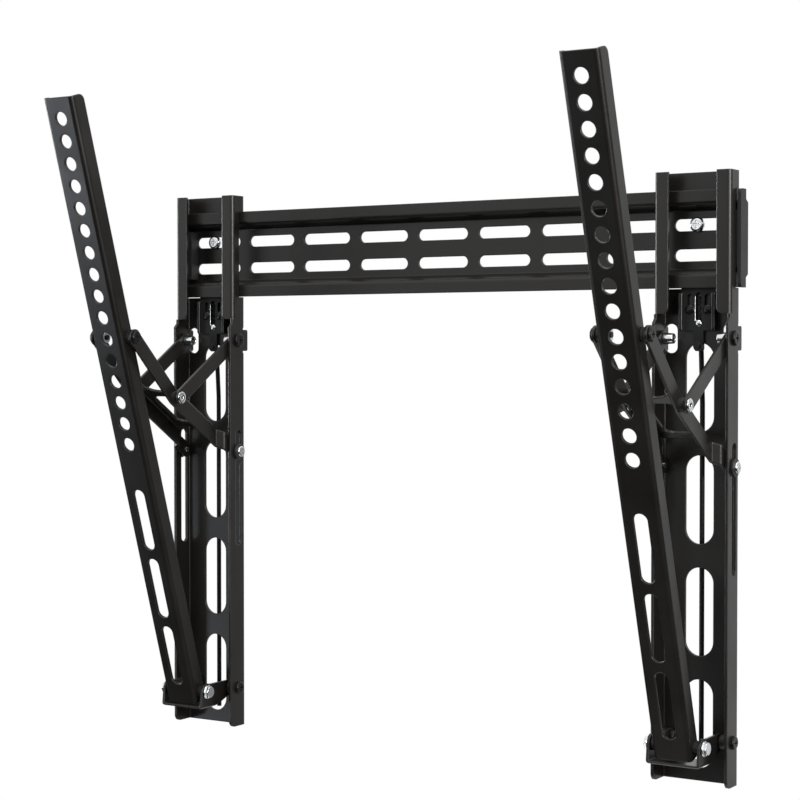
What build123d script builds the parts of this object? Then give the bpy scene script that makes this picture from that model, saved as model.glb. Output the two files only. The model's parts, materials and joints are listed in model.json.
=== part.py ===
from build123d import *
import math
import os

# Tilting wall bracket for a flat screen: one slotted wall rail, two hooked channels,
# each with a scissor linkage, a foot link and a perforated arm.
# Millimetres. The wall is y = 0, the viewer is at -Y, +Z is up.
# "d" below is the distance out from the wall (d = -y).

# Sheet and fits
SHEET = 2.0
BEND_R = 2.6
GAP = 0.3
RUN_FIT = 0.06
SLIDE_GAP = 0.1

# Wall rail
RAIL_HALF_L = 228.0
RAIL_HALF_H = 32.0
RAIL_DEPTH = 12.0
RAIL_WEB_HALF = 19.0
RAIL_STEP_H = 3.5
RAIL_SLOTS = 9
RAIL_SLOT_W = 8.0
RAIL_SLOT_LAND = 9.0
RAIL_END_LAND = 28.0
RAIL_ROW_Z = 10.0
RAIL_END_GAP = 1.0
CAP_T = 2.5
CAP_PLUG = 8.0
CAP_ROUND = 3.0
CAP_STEP = 3.4
CAP_WAIST = 10.0
WALL_SCREW_SHIFT = (-3.0, -4.0)
WALL_SCREW_HEAD_R = 5.0
WALL_SCREW_R = 2.4

# Channel
CH_HALF_W = 27.0
CH_BACK = 5.0
CH_DEPTH_UP = 15.5
CH_DEPTH_LOW = 18.5
CH_RISE = 12.0
CH_LENGTH = 401.0
LIP_W = 10.0
LIP_DROP = 17.0
LIP_ROUND = 4.0
RELIEF = 3.0
TOE_R = 5.0
HOOK_DROP = 6.0
CUT_COUNT = 4
CUT_W = 20.0
CUT_LAND = 15.5
CUT_TOP_LAND = 3.0
CUT_BOTTOM_LAND = 8.5
EAR_HALF = 8.0
WINDOW_W = 9.0
WINDOW_HALF = 9.6

# Linkage, side view
PIVOT_D = 13.5
FIXED_DROP = 33.0
FOOT_LAND = 29.0
SHORT_ARM = 78.0
UPPER_ARM = 62.0
UPPER_BEND = 12.0
FOOT_ARM = 28.0
REST_ANGLE = 57.5
MIN_ANGLE = 17.0
MAX_ANGLE = 62.0
BAR_HALF = 5.4
BAR_TIP_R = 5.8
KNEE_D = 28.0
KNEE_RUN = 3.0
WEB_BELOW = 51.0
WEB_ABOVE = 6.0
WEB_NOTCH = 8.0
WEB_STRIP = 6.0
LOOP_CLEAR = 0.7
FOOT_PLATE_DROP = 12.4
FOOT_PLATE_REAR = 18.5
FOOT_PLATE_FRONT = 7.5
FOOT_TIP_R = 6.2

# Linkage, across the width
FLANGE_GAP = 0.5
MID_SPACER = 4.0
ARM_SPACER = 3.3
FOOT_SPACER = 3.5

# Screen arm
ARM_FRONT = 9.5
ARM_DEPTH = 12.7
ARM_INNER_DEPTH = 8.5
ARM_BEND_R = 3.2
ARM_EAR_R = 5.0
ARM_TOP = 175.0
ARM_BELOW_FOOT = 6.0
ARM_END_R = 5.0
HOLE_COUNT = 16
HOLE_R = 5.0
HOLE_TOP = 160.0
HOLE_LAND = 35.0
ARM_SLOTS = 3
ARM_SLOT_L = 47.0
ARM_SLOT_LAND = 7.0
ARM_SLOT_END = 15.0

# Latch
LATCH_MARGIN = 14.5
LATCH_STROKE = 8.0
LATCH_T = 2.0
LATCH_TOOTH = 6.0
LATCH_FOLD = 3.6
LATCH_ROUND = 2.0
GUIDE_R = 2.0
GUIDE_LIP = 1.2
GUIDE_DROP = 14.0
STOP_DROP = 9.0
LATCH_END = 5.0
TONGUE_W = 6.6
TONGUE_L = 13.4
ROD_R = 1.7
ROD_HOLE_LAND = 3.4
ROD_BEND = 2.2
ROD_SLOPE = 38.0
ROD_END_LAND = 11.0
SPRING_R = 1.15
SPRING_WIRE = 0.5
SPRING_REACH = 18.0
SPRING_TURNS = 6

# Pivot hardware
FIXED_R = 3.0
MID_R = 3.0
TOP_R = 2.5
SLIDER_R = 3.4
SLIDER_SCREW_R = 2.0
FOOT_R = 2.5
BOLT_R = 3.0
HEAD_T = 2.0
HEAD_LIP = 2.0
THREAD_STEP = 0.6
NUT_R = 4.6
NUT_T = 3.0
NUT_TAIL = 0.8
SLEEVE_R = 4.0
SLEEVE_L = 7.4
RIVET_BORE = 1.5
RIVET_LIP = 1.3
RIVET_HEAD = 0.9
WASHER_LIP = 2.6
WASHER_T = 1.2

# Derived positions across the width, from the flange inwards
CH_IN = CH_HALF_W - SHEET
SHORT_OUT = CH_IN - FLANGE_GAP
SHORT_IN = SHORT_OUT - SHEET
LONG_OUT = SHORT_IN - MID_SPACER
LONG_IN = LONG_OUT - SHEET
ARM_HALF_W = LONG_IN - ARM_SPACER
ARM_IN = ARM_HALF_W - SHEET
FOOT_IN = ARM_HALF_W + FOOT_SPACER
FOOT_OUT = FOOT_IN + SHEET
LATCH_HALF_W = CH_HALF_W - LATCH_MARGIN

# Derived positions along the rail
ARM_SPACING = 2 * (RAIL_HALF_L - CH_HALF_W - RAIL_END_GAP)
RAIL_OUTER_SLOT = RAIL_HALF_L - RAIL_END_LAND
RAIL_SLOT_PITCH = 2 * RAIL_OUTER_SLOT / (RAIL_SLOTS - 1)
RAIL_SLOT_L = RAIL_SLOT_PITCH - RAIL_SLOT_LAND
WALL_SCREW_X = (-RAIL_OUTER_SLOT + WALL_SCREW_SHIFT[0], RAIL_OUTER_SLOT + WALL_SCREW_SHIFT[1])

# Derived distances from the wall
CH_WEB = CH_BACK + SHEET
CH_FRONT_UP = CH_BACK + CH_DEPTH_UP
CH_FRONT_LOW = CH_BACK + CH_DEPTH_LOW
NOTCH_D = RAIL_DEPTH + GAP
LIP_REAR = RAIL_DEPTH - SHEET
LATCH_BACK = CH_WEB + GAP
LATCH_FRONT = LATCH_BACK + LATCH_T

# Derived heights
CH_TOP = RAIL_HALF_H + CH_RISE
CH_BOTTOM = CH_TOP - CH_LENGTH
LIP_BOTTOM = -RAIL_HALF_H - LIP_DROP
NOTCH_LOW = -RAIL_HALF_H - GAP
FIXED_Z = -RAIL_HALF_H - FIXED_DROP
FOOT_Z = CH_BOTTOM + FOOT_LAND
CUT_TOP = FIXED_Z - CUT_TOP_LAND
CUT_LOW = CH_BOTTOM + CUT_BOTTOM_LAND
CUT_L = (CUT_TOP - CUT_LOW - (CUT_COUNT - 1) * CUT_LAND) / CUT_COUNT
CUT_PITCH = CUT_L + CUT_LAND
GUIDE_Z = -RAIL_HALF_H - GUIDE_DROP
STOP_Z = GUIDE_Z - STOP_DROP
LATCH_TOP = -RAIL_HALF_H + LATCH_TOOTH
LATCH_LOW = STOP_Z - LATCH_END
TONGUE_END = LATCH_LOW - TONGUE_L
ROD_Z = TONGUE_END + ROD_HOLE_LAND
ROD_END = CH_BOTTOM + ROD_END_LAND
GUIDES = ((-LATCH_HALF_W / 2, GUIDE_Z), (LATCH_HALF_W / 2, GUIDE_Z), (0.0, STOP_Z))


def along(start, length, angle):
    """Point at a length and an angle (degrees from upright, leaning out) from a start."""
    a = math.radians(angle)
    return (start[0] + length * math.sin(a), start[1] + length * math.cos(a))


# Pivots in the side view, as (d, z)
A = (PIVOT_D, FIXED_Z)
M = along(A, -SHORT_ARM, -REST_ANGLE)
S = along(M, -SHORT_ARM, REST_ANGLE)
P = along(M, UPPER_ARM, REST_ANGLE - UPPER_BEND)
F = (PIVOT_D, FOOT_Z)
Q = (F[0] + FOOT_ARM, F[1])
ARM_REACH = math.dist(P, Q)
ARM_TILT = math.degrees(math.atan2(P[0] - Q[0], P[1] - Q[1]))

# The slider slot is as long as the slider's travel
SLOT_END = SLIDER_R + SHEET
SLOT_TOP = FIXED_Z - 2 * SHORT_ARM * math.cos(math.radians(MAX_ANGLE)) + SLOT_END
SLOT_LOW = FIXED_Z - 2 * SHORT_ARM * math.cos(math.radians(MIN_ANGLE)) - SLOT_END

# The long slots fill the arm from its foot, and the round holes share what is left
ARM_LOW = -ARM_REACH - ARM_BELOW_FOOT
ARM_SLOT_PITCH = ARM_SLOT_L + ARM_SLOT_LAND
ARM_SLOT_TOP = ARM_LOW + ARM_SLOT_END + ARM_SLOTS * ARM_SLOT_PITCH - ARM_SLOT_LAND
HOLE_PITCH = (HOLE_TOP - ARM_SLOT_TOP - HOLE_LAND) / (HOLE_COUNT - 1)


# Helpers: every side-view shape is drawn in (d, z) and pulled across x
def side_plane(x):
    return Plane(origin=(x, 0, 0), x_dir=(0, -1, 0), z_dir=(-1, 0, 0))


def across(shape, x0, x1):
    return extrude(side_plane(x1) * shape, amount=x1 - x0)


def disc(centre, r, x0, x1):
    return across(Pos(*centre) * Circle(r), x0, x1)


def ring(centre, r_out, r_in, x0, x1):
    return across(Pos(*centre) * (Circle(r_out) - Circle(r_in)), x0, x1)


def hexagon(centre, r, r_in, x0, x1):
    return across(Pos(*centre) * (RegularPolygon(r, 6) - Circle(r_in)), x0, x1)


def bar(p, q, half):
    """Round-ended bar between two side-view points."""
    mid = ((p[0] + q[0]) / 2, (p[1] + q[1]) / 2)
    turn = math.degrees(math.atan2(q[1] - p[1], q[0] - p[0]))
    return Pos(*mid) * Rot(0, 0, turn) * SlotCenterToCenter(math.dist(p, q), 2 * half)


def poly(*points):
    return make_face(Polyline(*points, close=True))


def folded(*points):
    """Bent sheet seen on edge, drawn along the middle of its thickness."""
    path = Polyline(*points)
    path = fillet(path.vertices()[1:-1], BEND_R - SHEET / 2)
    return trace(path, SHEET)


def corner_cut(x, y, r, turn_x, turn_y):
    """What is cut off to round a corner; the turns point into the sheet."""
    square = Pos(x + turn_x * r / 2, y + turn_y * r / 2) * Rectangle(r, r)
    return square - Pos(x + turn_x * r, y + turn_y * r) * Circle(r)


def box(x0, x1, d0, d1, z0, z1):
    return Pos((x0 + x1) / 2, -(d0 + d1) / 2, (z0 + z1) / 2) * Box(x1 - x0, d1 - d0, z1 - z0)


def front_plane(d):
    """Drawing plane facing the viewer: drawn in (x, z), pulled towards the viewer."""
    return Plane(origin=(0, -d, 0), x_dir=(1, 0, 0), z_dir=(0, -1, 0))


def through(shape, d0, d1):
    return extrude(front_plane(d0) * shape, amount=d1 - d0)


def upright_slot(x, z, length, width):
    return Pos(x, z) * Rot(0, 0, 90) * SlotOverall(length, width)


def both(part):
    """A piece and its mirror image on the other flange."""
    return part + mirror(part, Plane.YZ)


def pan_head(centre, r, seat, height):
    """Screw head with a cross recess, facing out along +x."""
    head = disc(centre, r, seat, seat + height)
    head = fillet(head.faces().sort_by(Axis.X)[-1].edges(), 0.45 * height)
    arms = Rectangle(r, 0.24 * r) + Rectangle(0.24 * r, r)
    return head - across(Pos(*centre) * arms, seat + 0.5 * height, seat + 2 * height)


# Wall rail
def make_rail():
    lip = RAIL_DEPTH - SHEET / 2
    web = SHEET / 2
    high = RAIL_WEB_HALF + SHEET / 2
    profile = folded(
        (lip, RAIL_HALF_H),
        (lip, high + RAIL_STEP_H),
        (web, high),
        (web, -high),
        (lip, -high - RAIL_STEP_H),
        (lip, -RAIL_HALF_H),
    )
    slots = Sketch()
    for i in range(RAIL_SLOTS):
        x = i * RAIL_SLOT_PITCH - RAIL_OUTER_SLOT
        for z in (-RAIL_ROW_Z, RAIL_ROW_Z):
            slots += Pos(x, z) * SlotOverall(RAIL_SLOT_L, RAIL_SLOT_W)
    return across(profile, -RAIL_HALF_L, RAIL_HALF_L) - through(slots, -SHEET, 2 * SHEET)


def make_cap():
    plate = Pos(RAIL_DEPTH / 2, 0) * RectangleRounded(RAIL_DEPTH, 2 * RAIL_HALF_H, CAP_ROUND)
    waist = RAIL_HALF_H - CAP_WAIST
    for side in (1, -1):
        plate -= poly(
            (-SHEET, side * waist),
            (CAP_STEP, side * (waist + CAP_STEP)),
            (CAP_STEP, side * 2 * RAIL_HALF_H),
            (-SHEET, side * 2 * RAIL_HALF_H),
        )
    cap = across(plate, RAIL_HALF_L, RAIL_HALF_L + CAP_T)
    inner = RAIL_WEB_HALF - SHEET / 2
    plug = box(RAIL_HALF_L - CAP_PLUG, RAIL_HALF_L, SHEET, LIP_REAR, -inner, inner)
    return cap + plug


def make_wall_screw(x):
    r = WALL_SCREW_HEAD_R
    tall = 0.64 * r
    head = through(Pos(x, RAIL_ROW_Z) * Circle(r), SHEET, SHEET + tall)
    head = fillet(head.faces().sort_by(Axis.Y)[0].edges(), 0.55 * tall)
    shank = through(Pos(x, RAIL_ROW_Z) * Circle(WALL_SCREW_R), 0, SHEET)
    arms = Rectangle(r, 0.24 * r) + Rectangle(0.24 * r, r)
    recess = through(Pos(x, RAIL_ROW_Z) * arms, SHEET + 0.5 * tall, SHEET + 2 * tall)
    return head + shank - recess


# Channel
def folded_section(front, lips):
    """Folded section in (x, y): web at the back, two flanges, optional lips turned in."""
    depth = front - CH_BACK
    middle = -(front + CH_BACK) / 2
    if lips:
        outer = Pos(0, middle) * RectangleRounded(2 * CH_HALF_W, depth, BEND_R)
        inner = Pos(0, middle) * RectangleRounded(2 * CH_IN, depth - 2 * SHEET, BEND_R - SHEET)
        mouth = Pos(0, -front) * Rectangle(2 * (CH_HALF_W - LIP_W), 3 * SHEET)
        return outer - inner - mouth
    tall = Pos(0, -CH_BACK - depth) * RectangleRounded(2 * CH_HALF_W, 2 * depth, BEND_R)
    hollow = Pos(0, -CH_WEB - depth) * RectangleRounded(2 * CH_IN, 2 * depth, BEND_R - SHEET)
    keep = Pos(0, middle) * Rectangle(2 * CH_HALF_W, depth)
    return (tall - hollow) & keep


def make_channel():
    # Upper length with lips, lower length with deeper plain flanges
    upper = extrude(Pos(0, 0, LIP_BOTTOM) * folded_section(CH_FRONT_UP, True), amount=CH_TOP - LIP_BOTTOM)
    lower = extrude(Pos(0, 0, CH_BOTTOM) * folded_section(CH_FRONT_LOW, False), amount=LIP_BOTTOM - CH_BOTTOM)
    body = upper + lower
    wide = CH_HALF_W + SHEET

    # Rounded lip corners and the relief where the lips end
    lip_x = CH_HALF_W - LIP_W
    for side in (1, -1):
        lip_corner = corner_cut(side * lip_x, LIP_BOTTOM, LIP_ROUND, side, 1)
        body -= through(lip_corner, CH_FRONT_UP - 1.5 * SHEET, CH_FRONT_UP + SHEET)
    relief_low = LIP_BOTTOM - RELIEF
    relief_back = CH_FRONT_UP - 1.5 * SHEET
    body -= box(-CH_IN + 1, CH_IN - 1, relief_back, CH_FRONT_LOW + SHEET, relief_low, LIP_BOTTOM)
    body -= across(
        poly(
            (CH_FRONT_UP, LIP_BOTTOM + SHEET),
            (CH_FRONT_UP, relief_low),
            (CH_FRONT_LOW + SHEET, relief_low - SHEET - RELIEF),
            (CH_FRONT_LOW + SHEET, LIP_BOTTOM + SHEET),
        ),
        -wide,
        wide,
    )

    # Rounded toes at the bottom of the flanges
    body -= across(corner_cut(CH_FRONT_LOW, CH_BOTTOM, TOE_R, -1, 1), -wide, wide)

    # Hook over the top lip of the rail, and the notch that the rail runs through
    hook = LIP_REAR - 2 * SLIDE_GAP
    behind = CH_BACK - SHEET / 2
    body -= across(
        poly(
            (behind, RAIL_HALF_H - HOOK_DROP),
            (hook, RAIL_HALF_H - HOOK_DROP),
            (hook, RAIL_HALF_H),
            (NOTCH_D, RAIL_HALF_H),
            (NOTCH_D, NOTCH_LOW),
            (behind, NOTCH_LOW),
        ),
        -wide,
        wide,
    )

    # Long openings in the web
    cuts = Sketch()
    for i in range(CUT_COUNT):
        cuts += upright_slot(0, CUT_LOW + CUT_L / 2 + i * CUT_PITCH, CUT_L, CUT_W)
    body -= through(cuts, behind, CH_WEB + SHEET / 2)

    # Pivot ears, standing back through windows in the web
    window = RectangleRounded(WINDOW_W, 2 * WINDOW_HALF, 0.45 * WINDOW_W)
    for side in (1, -1):
        body -= through(Pos(side * (CH_IN - WINDOW_W / 2), FIXED_Z) * window, behind, CH_WEB + SHEET / 2)
        edge = sorted((side * (CH_IN - 0.01), side * wide))
        body -= box(*edge, behind, CH_WEB + SHEET / 4, FIXED_Z - WINDOW_HALF, FIXED_Z + WINDOW_HALF)
    ear_reach = CH_WEB - 0.9 * SHEET
    ear = Pos(CH_WEB, FIXED_Z) * RectangleRounded(2 * ear_reach, 2 * EAR_HALF, 0.75 * SHEET)
    ear &= Pos(CH_WEB / 2 + SHEET / 2, FIXED_Z) * Rectangle(CH_WEB + SHEET, 2 * EAR_HALF)
    body += both(across(ear, CH_IN, CH_HALF_W))

    # Pivot holes, slider slots and the holes for the latch guides
    slot = Pos(PIVOT_D, (SLOT_TOP + SLOT_LOW) / 2) * Rot(0, 0, 90)
    slot = slot * SlotOverall(SLOT_TOP - SLOT_LOW, 2 * (SLIDER_R + SLIDE_GAP))
    body -= across(slot, -wide, wide)
    body -= disc(A, FIXED_R + RUN_FIT, -wide, wide)
    body -= disc(F, FOOT_R + RUN_FIT, -wide, wide)
    for x, z in GUIDES:
        body -= through(Pos(x, z) * Circle(GUIDE_R + RUN_FIT), behind, CH_WEB + SHEET / 2)
    return body


# Latch: a sprung plate with folded sides that rises behind the lower lip of the rail
def make_latch_plate():
    plate = Pos(0, (LATCH_TOP + LATCH_LOW) / 2)
    plate = plate * RectangleRounded(2 * LATCH_HALF_W, LATCH_TOP - LATCH_LOW, LATCH_ROUND)
    tongue_top = LATCH_LOW + 2 * LATCH_ROUND
    tongue = Pos(0, (tongue_top + TONGUE_END) / 2)
    plate += tongue * RectangleRounded(TONGUE_W, tongue_top - TONGUE_END, 0.3 * TONGUE_W)
    half = GUIDE_R + SLIDE_GAP
    for x, z in GUIDES[:2]:
        plate -= upright_slot(x, z + LATCH_STROKE / 2, LATCH_STROKE + 2 * half, 2 * half)
    plate -= upright_slot(0, STOP_Z + SPRING_REACH / 2, SPRING_REACH + 2 * half, 2 * half)
    plate -= Pos(0, ROD_Z) * Circle(ROD_R + RUN_FIT)
    latch = through(plate, LATCH_BACK, LATCH_FRONT)
    fold_top = -RAIL_HALF_H - 1.5 * SHEET
    fold = box(LATCH_HALF_W - LATCH_T, LATCH_HALF_W, LATCH_BACK, LATCH_FRONT + LATCH_FOLD, LATCH_LOW, fold_top)
    fold -= across(corner_cut(LATCH_FRONT + LATCH_FOLD, LATCH_LOW, LATCH_ROUND, -1, 1), 0, 2 * LATCH_HALF_W)
    fold -= across(corner_cut(LATCH_FRONT + LATCH_FOLD, fold_top, LATCH_ROUND, -1, -1), 0, 2 * LATCH_HALF_W)
    fold -= through(corner_cut(LATCH_HALF_W, LATCH_LOW, LATCH_ROUND, -1, 1), LATCH_BACK, LATCH_FRONT)
    return latch + both(fold)


def make_latch_guides():
    group = Part()
    seat = LATCH_FRONT + SLIDE_GAP
    for x, z in GUIDES:
        spot = Pos(x, z)
        group += through(spot * Circle(GUIDE_R), CH_BACK, seat)
        group += through(spot * Circle(GUIDE_R + GUIDE_LIP), CH_BACK - 0.5 * GUIDE_LIP, CH_BACK)
        head = through(spot * Circle(GUIDE_R + GUIDE_LIP), seat, seat + GUIDE_LIP)
        group += fillet(head.faces().sort_by(Axis.Y)[0].edges(), 0.5 * GUIDE_LIP)
    return group


def make_latch_spring():
    low = STOP_Z + GUIDE_R + 0.55 * SPRING_WIRE
    high = STOP_Z + SPRING_REACH - SPRING_WIRE
    path = Helix((high - low) / SPRING_TURNS, high - low, SPRING_R - SPRING_WIRE / 2)
    path = Pos(0, -(LATCH_BACK + LATCH_FRONT) / 2, low) * path
    wire = Plane(origin=path @ 0, z_dir=path % 0) * RegularPolygon(SPRING_WIRE / 2, 6)
    return sweep(wire, path=path)


def make_release_rod():
    rod_d = CH_BACK / 2
    collar_t = 0.7 * ROD_R
    line = Polyline(
        (0, -LATCH_FRONT - 2 * collar_t, ROD_Z),
        (0, -CH_BACK, ROD_Z),
        (0, -rod_d, ROD_Z - ROD_SLOPE),
        (0, -rod_d, ROD_END),
    )
    line = fillet(line.vertices()[1:-1], ROD_BEND)
    section = Plane(origin=line @ 0, z_dir=line % 0) * RegularPolygon(ROD_R, 12)
    collar = through(Pos(0, ROD_Z) * Circle(2 * ROD_R), LATCH_FRONT, LATCH_FRONT + collar_t)
    return sweep(section, path=line) + collar


# Scissor links
def make_short_link(sign):
    outline = bar(A, M, BAR_HALF)
    outline -= Pos(*A) * Circle(FIXED_R + RUN_FIT)
    outline -= Pos(*M) * Circle(MID_R + RUN_FIT)
    link = across(outline, SHORT_IN, SHORT_OUT)
    if sign < 0:
        link = mirror(link, Plane.YZ)
    return link


def make_long_link():
    # Each side bar is flat down to a double bend, where it steps out to the flange
    outline = bar(M, P, BAR_HALF) + bar(M, S, BAR_HALF) + Pos(*P) * Circle(BAR_TIP_R)
    bar_x = LONG_IN + SHEET / 2
    tip_x = SHORT_IN + SHEET / 2
    plan = folded(
        (bar_x, -P[0] - 2 * BAR_TIP_R),
        (bar_x, -KNEE_D - KNEE_RUN / 2),
        (tip_x, -KNEE_D + KNEE_RUN / 2),
        (tip_x, 0),
    )
    height = 2 * (P[1] - S[1])
    side = across(outline, 0, CH_HALF_W) & extrude(Pos(0, 0, S[1] - height / 4) * plan, amount=height)

    # A bridge on the rear edge makes one piece of both bars
    a = math.radians(REST_ANGLE)
    low = along(M, -WEB_BELOW, REST_ANGLE)
    square = Plane(origin=(0, -low[0], low[1]), x_dir=(1, 0, 0), z_dir=(0, -math.sin(a), math.cos(a)))
    web_n = BAR_HALF + SHEET / 2
    section = folded((-bar_x, 0), (-bar_x, web_n), (bar_x, web_n), (bar_x, 0))
    link = both(side) + extrude(square * section, amount=WEB_BELOW + WEB_ABOVE)

    # Oblong opening in the bridge, and a round notch in its upper edge
    half = LONG_IN - WEB_STRIP
    notch_r = (half**2 + WEB_NOTCH**2) / (2 * WEB_NOTCH)
    notch_low = WEB_ABOVE - WEB_NOTCH
    slot_top = notch_low - WEB_STRIP
    slot_low = WEB_STRIP - WEB_BELOW
    opening = Pos(0, (slot_top + slot_low) / 2) * RectangleRounded(2 * half, slot_top - slot_low, 0.6 * half)
    opening += Pos(0, notch_low + notch_r) * Circle(notch_r)
    face = Plane(origin=(0, -M[0], M[1]), x_dir=(1, 0, 0), z_dir=(0, -math.cos(a), -math.sin(a)))
    link -= extrude(face * opening, amount=-2 * web_n)

    reach = CH_HALF_W + SHEET
    link -= disc(M, MID_R, -reach, reach)
    link -= disc(P, TOP_R, -reach, reach)
    link -= disc(S, SLIDER_SCREW_R, -reach, reach)
    return link


def make_mid_rivets():
    seat = SHORT_OUT + 2 * SLIDE_GAP
    inner = ring(M, MID_R + RIVET_LIP, RIVET_BORE, LONG_IN - RIVET_HEAD, LONG_IN)
    sleeve = ring(M, MID_R, RIVET_BORE, LONG_IN, seat)
    head = ring(M, MID_R + RIVET_LIP, RIVET_BORE, seat, seat + RIVET_HEAD)
    return both(inner + sleeve + head)


def make_mid_spacers():
    return both(ring(M, 0.85 * BAR_HALF, MID_R + RUN_FIT, LONG_OUT, SHORT_IN - GAP))


def make_fixed_screws():
    step = SHORT_IN - GAP
    shank = disc(A, FIXED_R, step, CH_HALF_W)
    thread = disc(A, FIXED_R - THREAD_STEP, step - 0.6 * SLEEVE_L, step)
    return both(pan_head(A, FIXED_R + HEAD_LIP, CH_HALF_W, HEAD_T) + shank + thread)


def make_fixed_nuts():
    step = SHORT_IN - GAP
    return both(ring(A, SLEEVE_R, FIXED_R - THREAD_STEP + RUN_FIT, step - SLEEVE_L, step))


def make_arm_screws():
    inside = ARM_IN - GAP
    shank = disc(P, TOP_R, inside, LONG_OUT)
    thread = disc(P, TOP_R - THREAD_STEP, inside - NUT_T - NUT_TAIL, inside)
    return both(pan_head(P, TOP_R + HEAD_LIP, LONG_OUT, HEAD_T) + shank + thread)


def make_arm_spacers():
    return both(ring(P, 0.85 * BAR_HALF, TOP_R + RUN_FIT, ARM_HALF_W + GAP, LONG_IN))


def make_arm_nuts():
    inside = ARM_IN - GAP
    return both(hexagon(P, NUT_R, TOP_R - THREAD_STEP + RUN_FIT, inside - NUT_T, inside))


def make_slider_bushes():
    seat = CH_HALF_W + GAP
    bore = SLIDER_SCREW_R + RUN_FIT
    body = ring(S, SLIDER_R, bore, SHORT_OUT, seat)
    flange = ring(S, SLIDER_R + WASHER_LIP, bore, seat, seat + WASHER_T)
    return both(body + flange)


def make_slider_screws():
    seat = CH_HALF_W + GAP + WASHER_T
    shank = disc(S, SLIDER_SCREW_R, SHORT_IN - NUT_TAIL, seat)
    return both(pan_head(S, SLIDER_SCREW_R + HEAD_LIP, seat, HEAD_T) + shank)


# Foot link: a folded stirrup under the arm
def make_foot_link():
    low = Q[1] - FOOT_PLATE_DROP
    rear = F[0] + FOOT_PLATE_REAR
    front = Q[0] + FOOT_PLATE_FRONT
    outline = bar(F, Q, BAR_HALF) + Pos(*Q) * Circle(FOOT_TIP_R)
    outline += poly(
        (F[0], F[1] - BAR_HALF),
        (rear, low),
        (front, low),
        (Q[0] + FOOT_TIP_R, Q[1]),
        Q,
        F,
    )
    outline -= corner_cut(front, low, SHEET, -1, 1)
    ear_x = FOOT_IN + SHEET / 2
    top = Q[1] + 2 * FOOT_TIP_R
    stirrup = folded((-ear_x, top), (-ear_x, low + SHEET / 2), (ear_x, low + SHEET / 2), (ear_x, top))
    link = through(stirrup, 0, 2 * front) & across(outline, -CH_HALF_W, CH_HALF_W)
    link -= disc(F, FOOT_R + LOOP_CLEAR, -CH_HALF_W, CH_HALF_W)
    link -= disc(Q, BOLT_R + RUN_FIT, -CH_HALF_W, CH_HALF_W)
    return link


def make_foot_bolts():
    seat = FOOT_OUT + GAP
    flange = disc(Q, NUT_R + THREAD_STEP, seat, seat + NUT_TAIL)
    head = across(Pos(*Q) * RegularPolygon(NUT_R, 6), seat + NUT_TAIL, seat + NUT_T)
    shank = disc(Q, BOLT_R, ARM_HALF_W, seat)
    thread = disc(Q, BOLT_R - THREAD_STEP, ARM_IN - NUT_T - NUT_TAIL, ARM_HALF_W)
    return both(flange + head + shank + thread)


def make_foot_nuts():
    return both(hexagon(Q, NUT_R, BOLT_R - THREAD_STEP + RUN_FIT, ARM_IN - NUT_T, ARM_IN))


def make_foot_spacers():
    return both(ring(Q, 0.85 * BAR_HALF, BOLT_R + RUN_FIT, ARM_HALF_W, FOOT_IN - GAP))


def make_foot_pivots():
    inside = FOOT_IN - GAP
    shank = disc(F, FOOT_R, inside, CH_HALF_W)
    thread = disc(F, FOOT_R - THREAD_STEP, inside - NUT_T - NUT_TAIL, inside)
    return both(pan_head(F, FOOT_R + HEAD_LIP, CH_HALF_W, HEAD_T) + shank + thread)


def make_foot_pivot_nuts():
    inside = FOOT_IN - GAP
    return both(hexagon(F, NUT_R, FOOT_R - THREAD_STEP + RUN_FIT, inside - NUT_T, inside))


def make_foot_pivot_spacers():
    return both(ring(F, 0.9 * BAR_HALF, FOOT_R + RUN_FIT, FOOT_OUT + GAP, CH_IN))


# Screen arm, drawn upright about its top pivot, then leaned out
def make_arm():
    w = ARM_HALF_W
    deep = ARM_DEPTH
    outer = Pos(0, deep - ARM_FRONT) * RectangleRounded(2 * w, 2 * deep, ARM_BEND_R)
    inner = Pos(0, deep - ARM_FRONT + SHEET) * RectangleRounded(2 * ARM_IN, 2 * deep, ARM_BEND_R - SHEET)
    keep = Pos(0, deep / 2 - ARM_FRONT) * Rectangle(2 * w, deep)
    arm = extrude(Pos(0, 0, ARM_LOW) * ((outer - inner) & keep), amount=ARM_TOP - ARM_LOW)

    # The left flange is shallower, and both have rounded rear corners at the ends
    rear = ARM_FRONT - deep
    left_rear = ARM_FRONT - ARM_INNER_DEPTH
    arm -= box(-2 * w, -ARM_IN / 2, rear - SHEET, left_rear, ARM_LOW - SHEET, ARM_TOP + SHEET)
    for z, turn in ((ARM_TOP, -1), (ARM_LOW, 1)):
        arm -= across(corner_cut(rear, z, ARM_END_R, 1, turn), 0, 2 * w)
        arm -= across(corner_cut(left_rear, z, ARM_END_R, 1, turn), -2 * w, 0)

    # Ears that stand back from the flanges round the pivots
    foot = (0, -ARM_REACH)
    for spot in ((0, 0), foot):
        ear = Pos(*spot) * Circle(ARM_EAR_R)
        ear += Pos(spot[0] + ARM_FRONT / 4, spot[1]) * Rectangle(ARM_FRONT / 2, 2 * ARM_EAR_R)
        arm += both(across(ear, ARM_IN, w))

    # Round holes, then long slots, down the front face
    holes = Sketch()
    for i in range(HOLE_COUNT):
        holes += Pos(0, HOLE_TOP - i * HOLE_PITCH) * Circle(HOLE_R)
    for i in range(ARM_SLOTS):
        z = ARM_LOW + ARM_SLOT_END + ARM_SLOT_L / 2 + i * ARM_SLOT_PITCH
        holes += upright_slot(0, z, ARM_SLOT_L, 2 * HOLE_R)
    arm -= through(holes, ARM_FRONT - 1.5 * SHEET, ARM_FRONT + SHEET)
    arm -= disc((0, 0), TOP_R + RUN_FIT, -2 * w, 2 * w)
    arm -= disc(foot, BOLT_R - THREAD_STEP + RUN_FIT, -2 * w, 2 * w)
    return Pos(0, -P[0], P[1]) * Rot(ARM_TILT, 0, 0) * arm


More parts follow.
